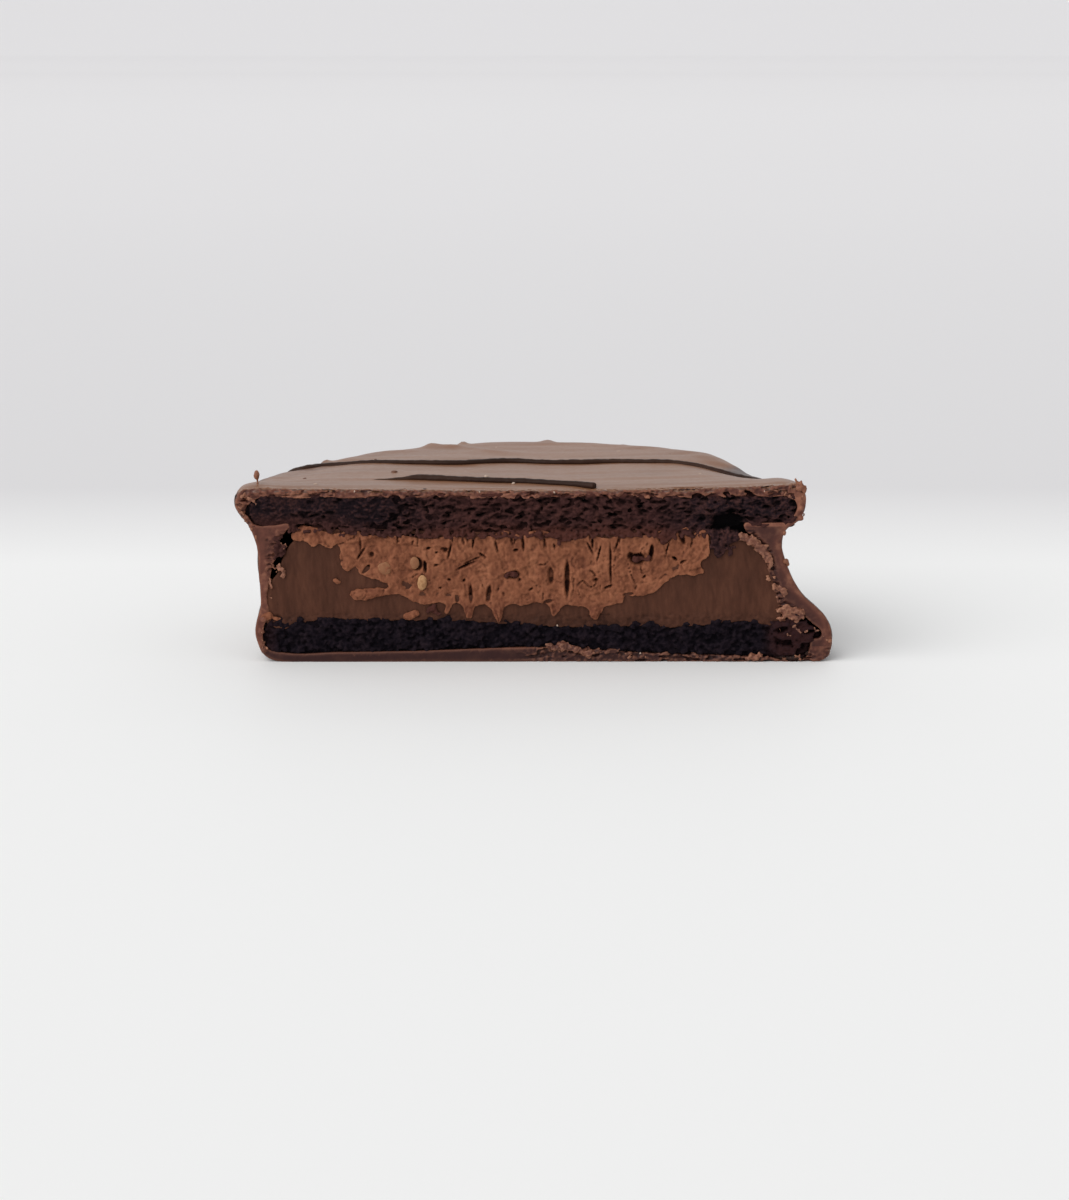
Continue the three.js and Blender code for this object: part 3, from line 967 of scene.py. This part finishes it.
def set_chocolate(name, roughness, gloss, tones, tint, relief):
    """Set chocolate: three tones in soft blotches, and a fourth where the piece is tinted."""
    material, tree, shader = new_finish(name, roughness, gloss)
    place = millimetres(tree)
    stops = [(stop, tone(*shade)) for stop, shade in zip((0.3, 0.5, 0.7), tones, strict=True)]
    color = blended(tree, painted_tint(tree), ramp(tree, noise(tree, place, 0.12, 3), stops), tint)
    tree.links.new(color, shader.inputs["Base Color"])
    fine = noise(tree, place, 1.6, 4)
    dull = node(tree, "MapRange", {"Value": fine, "To Min": roughness - 0.07, "To Max": roughness + 0.09})
    tree.links.new(dull["Result"], shader.inputs["Roughness"])
    embossed(tree, shader, fine, relief, 0.05)
    return material


def second_finish(piece, finish, chosen):
    """Gives a second finish to the faces that a test of (x, y, z, normal) chooses."""
    piece.data.materials.append(finish)
    for face in piece.data.polygons:
        if chosen(*((face.center - spot(0, 0, 0)) / MM), face.normal):
            face.material_index = 1


def inner_wall_in_shade(x, y, z, normal):
    inwards = normal.x * (x + 1) + normal.y * y < 0
    return 1 < z < 19.5 and inwards and y > SHELL_START + 0.05


thickness = coating.modifiers.new("thickness", "SOLIDIFY")
thickness.thickness = COAT_THICKNESS * MM
thickness.offset = -1
applied(coating, thickness)
# The top is tinted lighter and warmer: partly bloom, mostly a painted warm sheen in place of the grazing
# reflection
tinted(coating, lambda x, y, z: between(20.6, 21.2, z) * (0.8 + 0.3 * mottled(x, y, 9, 2.2, 81)))
coat_finish = set_chocolate(
    "milk chocolate", 0.42, 0.42, ((56, 32, 25), (67, 39, 31), (82, 49, 38)), (128, 88, 62), 0.16
)
put(coating, "coating_shell", coat_finish, "milk_chocolate", "chocolate_coating")
# The inner wall, seen through the gaps at the cut, is painted dark and dull as shade
finish = set_chocolate(
    "shaded inside of the coating", 0.9, 0.02, ((22, 12, 10), (28, 15, 12), (36, 20, 16)), (28, 15, 12), 0.1
)
second_finish(coating, finish, inner_wall_in_shade)


# ---------------------------------------------------------------- coating's broken edge
# Where the knife went through, the coating shows as a thin torn strip over and under the
# biscuits, and as a thick smooth section at the waist, where it had pooled beside the filling.
skin_outline = [
    (-35.9, 21.25), (-36.4, 20.2), (-36.5, 19.3), (-35.9, 18.2), (-34.9, 17), (-34.3, 15.6),
    (-33.9, 14.2), (-33.8, 11.5), (-33.6, 8.6), (-33.6, 7), (-34.1, 5.2), (-34.3, 3.7), (-34, 2.3),
    (-33.3, 0.9), (-31.8, 0.1), (-15, 0, CORNER), (0, 0, CORNER), (15, 0, CORNER), (34, 0, CORNER),
    (35.9, 0.4), (36.5, 1.6), (36.6, 2.6), (36.4, 4.2), (35.8, 5.5), (34.6, 6.8), (33, 8.3), (31.9, 9.9),
    (31.2, 11.4), (30.6, 13), (30.25, 14.8), (30.7, 16.4), (32, 17.4), (32.9, 18.7), (33.1, 19.8),
    (33, 21), (32.4, 21.95), (30, 22), (24, 21.75), (12, 21.45), (0, 21.38), (-18, 21.45), (-30, 21.55),
    (-34.4, 21.6),
]
room_outline = [
    (-34.8, 19.7), (-33.8, 20.35), (-32.3, 20.6), (-28.6, 20.4), (-25.2, 20.6), (-23.3, 20.4),
    (-18.5, 20.7), (-11.2, 20.75), (-4.5, 20.85), (2.5, 20.6), (9.8, 20.75), (17.1, 20.7), (20.7, 21.1),
    (24.3, 21.2), (26.3, 21.3), (26.7, 20.9), (28.2, 20.6), (31.2, 20.5), (32, 19.6), (31.7, 18.4),
    (30.9, 17.5), (29.9, 17.4), (26.9, 17.35), (25.6, 17.2), (25.8, 16.4), (26.7, 15.6), (27.6, 14.7),
    (28.2, 13.6), (28.5, 12.2), (28.8, 10.7), (29.1, 9.4), (29.6, 8), (30.1, 6.7), (32.6, 6.1), (33.9, 5),
    (35.3, 3.5), (35, 3), (34.1, 2.8), (33.8, 1.6), (33.5, 0.6), (28, 0.6), (22, 0.8), (12, 1.15),
    (5, 1.6), (0, 1.8), (-5, 1.7), (-14, 1.35), (-24, 1.2), (-31, 1.15), (-33, 1.8), (-33.4, 3.4),
    (-33.1, 4.8), (-32.6, 6), (-32.8, 8), (-32.5, 9.8), (-32.1, 11.9), (-31.6, 13.2), (-31.2, 14.9),
    (-30.3, 16.4), (-29.8, 16.95), (-31.8, 17.05), (-34.2, 17.15), (-34.8, 17.9), (-35.3, 18.6),
]
broken_edge = slab("coating_broken_edge", 0.0, 1.25, skin_outline, room_outline)
chips = []
draw = random.Random(53)
for _ in range(300):
    x = draw.uniform(-34, 31.5)
    high = x < 1 or draw.random() < 0.7
    z = 20.95 + 0.25 * float(between(12, 30, x)) if high else over_sole(x) - 0.2
    size = draw.uniform(0.14, 0.34)
    chips.append((
        (x, draw.uniform(-0.12, 0.2), z + draw.uniform(-0.4, 0.3)),
        (size * draw.uniform(1, 2.4), size * 0.7, size * draw.uniform(0.5, 0.9)),
        tumbled(draw, -0.4, 0.4),
    ))
for x, z, size in (
    (-34.9, 20.6, 0.5), (-35.6, 19.6, 0.45), (-35.9, 18.8, 0.4), (-35.2, 18, 0.35), (-34.6, 17, 0.3),
    (32.4, 17.9, 0.4), (32.6, 19.2, 0.4), (-33.2, 5.4, 0.5), (-33.6, 3.8, 0.45), (-33.2, 1.4, 0.4),
):
    chips.append(((x, 0.05, z), (size, size * 0.7, size), (0, x, 0)))
joined(broken_edge, strewn("chips", 2, chips))
fused(broken_edge, 0.14, rounds=2)


def torn(x, y, z):
    strip = between(20.3, 20.9, z - 0.2 * between(10, 26, x))
    calm = between(8, 10, x) * below(25, 27, x)
    sole = below(1.0, 2.2, z) * between(-3, 1, x) * (1 - 0.8 * calm)
    left_seam = (x < -15) * between(-33.1, -32.2, x) * below(15, 17, z) * (z > 2)
    left_end = below(-35.2, -34.4, x) * (z > 16.5)
    seam_x = np.interp(z, [6, 8, 12, 14, 16], [30.6, 29.6, 28.6, 28.1, 26.2])
    right_seam = (x > 0) * (z < 16.5) * below(0.4, 1.1, x - seam_x)
    foot = between(29.5, 31.0, x) * below(33.6, 34.6, x)
    foot *= below(6.0, 7.4, z + 0.55 * (x - 32))
    return np.clip(strip + sole + left_seam + left_end + right_seam + foot, 0, 1) * front(x, y, z)


def from_right_edge(x, z):
    """How far to the left of the coating's right edge a place is."""
    heights = [0, 3, 5.5, 7, 9, 12, 15, 17.3, 19, 22]
    return np.interp(z, heights, [36.3, 36.6, 35.9, 34.5, 32.4, 30.9, 30.2, 31.4, 33, 33]) - x


def skin_relief(x, y, z):
    smooth = 0.4 * mottled(x, z, 3.5, 4.5, 61) + 0.05 * mottled(x, z, 0.6, 1.5, 62)
    cracks = between(0.58, 0.64, mottled(x, z, 1.6, 0.35, 63))
    rounded = (x > 0) * between(0.8, 0, from_right_edge(x, z)) ** 2
    rough = torn(x, y, z) * (0.45 * cracks + 0.3 * mottled(x, z, 0.5, 0.35, 64))
    return front(x, y, z) * (0.5 * smooth + 0.35 * rounded + rough)


pushed(broken_edge, 0.7, skin_relief, "Y")
pushed(broken_edge, 0.3, torn, "NORMAL", soft_clouds, 0.5)
pushed(broken_edge, 0.5, lambda x, y, z: (y > 1.1) * (z > 20.9) * mottled(x, 0 * x, 1.8, 1, 66), "Y")


# The tint: the sole darker, partly painted shade from below; the waist section darker, most at the right,
# with a painted highlight lightening the right edge; the top faces take the coating's lighter top tint,
# painted sheen; and random darker blotches on the torn parts
def skin_tint_and_painted_light(x, y, z):
    low = below(1.2, 2.6, z) * (1 - 0.6 * between(32, 34.5, x))
    inside = (z < 17) * (z > 2)
    lit_edge = (x > 0) * between(1.6, 0.2, from_right_edge(x, z))
    right = (x > 0) * (0.62 - 0.55 * lit_edge)
    top = between(0.15, 0.4, y) * (z > 21.1)
    return top + low + inside * (0.1 + right) + 0.4 * torn(x, y, z) * mottled(x, z, 1.4, 0.8, 65)


tinted(broken_edge, skin_tint_and_painted_light)
# Painted shade (the last colour) in creases and deep gaps, painted highlight (the lightest tone) on standing
# edges
finish = cut_finish(
    "broken milk chocolate", 0.5, 0.16, ((84, 49, 40), (101, 59, 48), (150, 100, 78)),
    (46, 25, 25), (30, 16, 13), 0.9, (0.45, 1.0),
)
put(broken_edge, "coating_broken_edge", finish, "milk_chocolate", "chocolate_coating")


def outer_skin(x, y, z, normal):
    over = z > 21.1 and normal.z > 0.55
    beside = normal.y > 0.5 or (normal.y > -0.6 and x * normal.x > 12)
    outside = x > 29.9 + 6 * (z < 8) + 2.4 * (8 <= z < 10) + 0.7 * (z > 17) or x < -33.2
    return over or (beside and outside)


second_finish(broken_edge, coat_finish, outer_skin)


# ---------------------------------------------------------------- torn seam
# Where the coating's thick right side pulled away from the ganache, its chocolate tore into pale
# curled flakes. They run down the seam into the foot and lie scattered on the left seam and sole.
draw = random.Random(71)
seam = [
    (25.2, 15.6, 26.8, 15.1, 20, 0.58), (26, 15.1, 27.9, 14.4, 24, 0.52), (27, 14.2, 28.6, 13.2, 18, 0.5),
    (27.9, 13.4, 28.8, 12.2, 10, 0.42), (28.4, 11.9, 28.7, 11.5, 5, 0.3),
    (28.3, 10.8, 28.6, 10.3, 4, 0.3), (28.9, 10.8, 29.3, 10.2, 4, 0.24), (29.2, 9.6, 29.8, 9, 6, 0.34),
    (30, 9.4, 30.8, 8.3, 9, 0.5), (29.4, 8.2, 29.7, 7.6, 5, 0.3), (29.7, 6.7, 31.2, 6.4, 14, 0.5),
    (30.8, 6.7, 32.6, 6, 16, 0.62), (30.2, 6.1, 32.2, 5.2, 14, 0.5), (29.8, 5.4, 30.6, 5.1, 6, 0.32),
    (31.8, 4.2, 33.4, 3.8, 8, 0.36), (34, 4.2, 34.8, 3.6, 5, 0.26), (35.4, 3, 36.2, 2.5, 5, 0.3),
    (29.4, 4.3, 32.6, 2.4, 7, 0.26), (-31.4, 15.1, -30.5, 14.2, 8, 0.28),
    (-32.2, 12.5, -31.8, 11, 9, 0.22), (-31.5, 12.2, -30.7, 10.8, 9, 0.4),
    (-32.8, 10.4, -32.2, 9, 12, 0.26), (-32.7, 8.4, -32.3, 7.4, 6, 0.18), (1.4, 2.1, 2.2, 1.6, 7, 0.5),
    (3, 2, 4.6, 1.6, 13, 0.58), (4.6, 1.6, 7, 1, 16, 0.58), (-35.7, 20.8, -34.6, 20.3, 9, 0.3),
    (32.3, 20.6, 32.8, 18.2, 10, 0.26), (25.9, 0.7, 26.9, 0.5, 7, 0.5), (27.2, 0.9, 28.2, 0.6, 5, 0.4),
    (30.4, 0.6, 33, 0.5, 8, 0.28), (-34.6, 20.4, -34.2, 19.8, 5, 0.28), (30, 21, 31, 20.7, 6, 0.3),
    (8, 1, 14, 0.7, 8, 0.3), (-36.2, 19.6, -35.2, 17.6, 12, 0.26), (-33.6, 4.6, -33.2, 1.4, 12, 0.24),
]
flakes = []
for x0, z0, x1, z1, count, size in seam:
    lean = math.atan2(z1 - z0, x1 - x0)
    for _ in range(count):
        along = draw.random()
        long = size * draw.uniform(0.7, 1.25)
        flakes.append((
            (
                x0 + (x1 - x0) * along + draw.uniform(-0.1, 0.4), draw.uniform(-0.12, 0.3),
                z0 + (z1 - z0) * along + draw.uniform(-0.25, 0.25),
            ),
            (long, size * 0.5, size * draw.uniform(0.5, 0.8)),
            (draw.uniform(-0.6, 0.6), -lean + draw.uniform(-1.3, 1.3), draw.uniform(-0.5, 0.5)),
        ))
torn_flakes = fused(strewn("flakes", 2, flakes, fold=0.22), 0.11, rounds=1)
pushed(torn_flakes, 0.3, None, "NORMAL", crumbly_clouds, 0.7)


def darker_at_the_foot(x, y, z):
    return 0.8 * (x > 0) * (z > 1.5) * (z < 5) + mottled(x, z, 1.0, 1.0, 72) ** 2


tinted(torn_flakes, darker_at_the_foot)
# Painted shade (the last colour) in creases and deep gaps, painted highlight (the lightest tone) on standing
# edges
finish = cut_finish(
    "torn milk chocolate", 0.5, 0.25, ((100, 59, 45), (124, 78, 60), (164, 116, 90)),
    (84, 48, 40), (42, 21, 17), 0.5, (0.2, 0.7),
)
put(torn_flakes, "torn_flakes", finish, "milk_chocolate")


# ---------------------------------------------------------------- drizzles
# Two lines of darker chocolate flung over the coating while it was soft. They're round on top, thin
# out and swell along their way, and the long one runs over the rim at the left and ends in a drop.
def top_of(x, depth):
    """The height of the coating's top in millimetres."""
    return 21.42 + 0.36 * min(max(x / 33, 0), 1) + 0.15 * depth / 34 - float(sunk(x, depth))


def on_side(turn, height, lift=0.0):
    """The (x, y, z) of a place on the coating's side, at a turn in degrees and a height."""
    out = Vector((math.cos(math.radians(turn)), math.sin(math.radians(turn)), 0))
    place = coating.ray_cast(spot(0, 0, height) + 60 * MM * out, -out)[1]
    return tuple((place - spot(0, 0, 0)) / MM + lift * out)


def drizzled(name, places):
    """A flattened strand through (x, y, z, thickness share)."""
    bpy.ops.object.select_all(action="DESELECT")
    bpy.ops.curve.primitive_bezier_circle_add(radius=1)
    section = bpy.context.object
    section.scale = (0.55 * MM, 0.42 * MM, 1)
    bpy.ops.object.transform_apply(location=True, rotation=True, scale=True)
    bpy.ops.curve.primitive_bezier_curve_add()
    strand = bpy.context.object
    strand.name = name
    strand.data.splines.clear()
    spline = strand.data.splines.new("BEZIER")
    spline.bezier_points.add(len(places) - 1)
    for point, (x, y, z, share) in zip(spline.bezier_points, places, strict=True):
        point.co = spot(x, y, z)
        point.handle_left_type = point.handle_right_type = "AUTO"
        point.radius = share
    strand.data.resolution_u = 16
    strand.data.twist_mode = "Z_UP"
    strand.data.bevel_mode = "OBJECT"
    strand.data.bevel_object = section
    strand.data.use_fill_caps = True
    pick(strand)
    bpy.ops.object.convert(target="MESH")
    bpy.data.objects.remove(section)
    return edited(strand, weld, face_out)


LIFT = 0.22
long_route = [
    (-29.4, 19, 0.16, 1.3), (-27, 20.6, LIFT, 1.1), (-24, 20.2, LIFT, 0.95), (-20.5, 19.4, LIFT, 0.85),
    (-16.7, 18.6, LIFT, 0.85), (-12.8, 18.3, LIFT, 0.9), (-9, 18.2, LIFT, 0.95), (-5.6, 19.2, LIFT, 1.05),
    (-3, 19.7, LIFT, 0.95), (1.4, 18.6, LIFT, 0.85), (6.3, 18.5, LIFT, 0.95), (9.4, 18.9, LIFT, 0.85),
    (13.4, 18.4, LIFT, 0.85), (17.4, 17.6, LIFT, 0.95), (21, 16.6, LIFT, 0.95), (24.4, 15.2, LIFT, 0.95),
    (27, 13, LIFT, 0.85), (29.2, 10.8, 0.05, 0.6), (30.4, 9.2, -0.15, 0.4),
]
short_route = [
    (-22.6, 6.9, -0.05, 0.25), (-19.4, 7, 0.02, 0.4), (-16.6, 7.1, 0.12, 0.6), (-14.4, 7.3, LIFT, 1.15),
    (-12, 6.9, LIFT, 1.15), (-8.7, 6.2, LIFT, 1), (-5, 5.5, LIFT, 0.95), (-1.3, 4.9, LIFT, 1),
    (1.5, 4.1, LIFT, 0.95), (3.6, 3.3, LIFT, 0.9), (5.6, 2.4, LIFT, 1), (7.4, 1.3, LIFT, 1.05),
]
drizzle_finish = set_chocolate(
    "dark chocolate", 0.5, 0.12, ((42, 26, 18), (50, 31, 23), (58, 38, 28)),
    (60, 40, 32), 0.15,
)
drip = [
    (154, 13.6, 1), (153, 14.6, 0.9), (152, 16.2, 0.85), (150.5, 18, 0.95), (149, 19.3, 1.1), (148, 20, 1.25),
]
for line, route, start in (("drizzle_long", long_route, drip), ("drizzle_short", short_route, [])):
    places = [(*on_side(turn, height, 0.1), share) for turn, height, share in start]
    places += [(x, depth, top_of(x, depth) + lift, share) for x, depth, lift, share in route]
    strand = drizzled(line + "_strand", places)
    if start:
        joined(strand, strewn("drop", 3, [(on_side(154, 13.4, 0.1), (0.72, 0.6, 0.95), (0, 0, 0))], fold=0))
    fused(strand, 0.16, rounds=3)
    pushed(strand, 0.14, None, "NORMAL", soft_clouds, 0.9)
    put(strand, line + "_strand", drizzle_finish, "dark_chocolate", line)


# ---------------------------------------------------------------- crumbs and burrs
# Small stray bits: two curls that the knife raised on the rim, lumps stuck to the sides, and pale
# and brown crumbs scattered over the coating's top, with a few pale flecks on the cut as painted highlight
# specks.
bits = [
    ((-34, 2.4, 22.9), (0.4, 0.35, 0.62), (0, 0.1, 0)),
    ((-33.9, 2.4, 22.3), (0.16, 0.16, 0.4), (0, -0.1, 0)),
    ((-33.9, 2.4, 21.8), (0.2, 0.2, 0.35), (0, 0.1, 0)), ((-34.6, 2, 21.5), (0.3, 0.25, 0.2), (0, 0, 0)),
    ((31.9, 0.3, 22.4), (0.2, 0.22, 0.6), (0, -0.35, 0)),
    ((32.5, 0.25, 22), (0.26, 0.3, 0.7), (0, -0.1, 0)), ((32.9, 0.2, 21.5), (0.3, 0.3, 0.6), (0, 0.1, 0)),
    ((32.2, 0.2, 21.6), (0.5, 0.3, 0.35), (0, 0.3, 0)), ((30.5, 0.3, 16.1), (0.3, 0.3, 0.36), (0, 0, 0)),
    ((30.75, 0.2, 12.6), (0.42, 0.35, 0.38), (0, 0, 0)), ((31, 0.3, 12.2), (0.26, 0.25, 0.3), (0, 0, 0)),
    ((-34.5, 0.2, 16.6), (0.26, 0.3, 0.36), (0, 0, 0)), ((-34, 0.2, 15.6), (0.2, 0.25, 0.4), (0, 0, 0)),
    ((36.3, 0.2, 2.6), (0.34, 0.3, 0.3), (0, 0, 0)),
]
burrs = fused(strewn("bits", 3, bits, fold=0.06), 0.12, rounds=2)
pushed(burrs, 0.14, None, "NORMAL", crumbly_clouds, 0.5)
tinted(burrs)
# Painted highlight (the lightest tone) on standing edges and painted shade (the last colour) in creases
finish = cut_finish(
    "knife curls", 0.5, 0.25, ((96, 57, 41), (116, 71, 52), (150, 102, 78)),
    (72, 44, 36), (52, 28, 20), 0.4, (90, 95),
)
put(burrs, "burrs_and_lumps", finish, "milk_chocolate")

# Lumps and chips along the foot and a worn, crumbled stretch of the rim behind
draw = random.Random(91)
lumps = []
for low_turn, high_turn, low, high, count in (
    (8, 172, 0.2, 1.2, 90), (12, 26, 0.3, 2.4, 34), (96, 108, 0.3, 1.8, 18), (128, 150, 0.3, 2.2, 30),
    (62, 120, 20.2, 20.7, 70),
):
    for _ in range(count):
        size = draw.uniform(0.16, 0.42)
        lumps.append((
            on_side(draw.uniform(low_turn, high_turn), draw.uniform(low, high), -0.08),
            (size * draw.uniform(1, 1.8), size * 0.8, size * 0.7), tumbled(draw, 0, 6),
        ))
foot_and_rim = fused(strewn("lumps", 3, lumps, fold=0.06), 0.12, rounds=2)
pushed(foot_and_rim, 0.14, None, "NORMAL", crumbly_clouds, 0.5)
tinted(foot_and_rim, lambda x, y, z: mottled(x, y, 1.4, 1.4, 95) ** 2 * (0.4 + 0.4 * (z > 15)))
finish = set_chocolate(
    "chipped chocolate", 0.5, 0.35, ((58, 33, 26), (69, 41, 32), (84, 51, 40)),
    (128, 84, 64), 0.3,
)
put(foot_and_rim, "foot_and_rim_lumps", finish, "milk_chocolate")

pale = [
    (-6, 9), (-2.6, 4.2), (20.6, 9.6), (-13.3, 7.4), (-26.8, 3.4), (-5, 30.2), (11, 26.4), (26.4, 6.2),
]
brown = [(-20.4, 22.6), (-9.9, 33.0), (-14.0, 7.9), (-28.5, 8.6), (17.5, 24.0), (-17.6, 12.2)]
# Pale flecks on the cut's top strip and sole: painted highlight specks
highlight_fleck_places = [(-6.7, 21.25), (2.4, 21.2), (-21.9, 21.3), (2.8, 4.6), (28.0, 21.3), (13.0, 1.1)]
for name, places, highlight_flecks, specks, color, seed in (
    ("pale_crumbs", pale, highlight_fleck_places, 70, (168, 146, 130), 93),
    ("brown_crumbs", brown, [], 20, (92, 60, 46), 94),
):
    draw = random.Random(seed)
    crumbs = []
    for x, depth in places:
        size = draw.uniform(0.16, 0.34)
        sizes = (size * draw.uniform(1, 1.8), size, size * 0.7)
        crumbs.append(((x, depth, top_of(x, depth) + 0.1), sizes, (0, 0, draw.uniform(0, 3))))
    for x, z in highlight_flecks:
        crumbs.append(((x, 0.0, z), (0.11, 0.12, 0.15), (0, x, 0)))
    for _ in range(specks):
        size = draw.uniform(0.07, 0.13)
        place = on_side(draw.uniform(8, 172), draw.uniform(2, 19))
        crumbs.append((place, (size * draw.uniform(1, 2), size, size), (0, 0, 0)))
    crumb_piece = fused(strewn(name, 2, crumbs), 0.07)
    tinted(crumb_piece)
    dark, light, deep = ([c + step for c in color] for step in (-18, 22, -26))
    # Painted highlight (the lightest tone) on standing edges and painted shade (the last colour) in creases
    finish = cut_finish(name.replace("_", " "), 0.6, 0.2, (dark, color, light), color, deep, 0.3, (90, 95))
    put(crumb_piece, name, finish, "milk_chocolate")
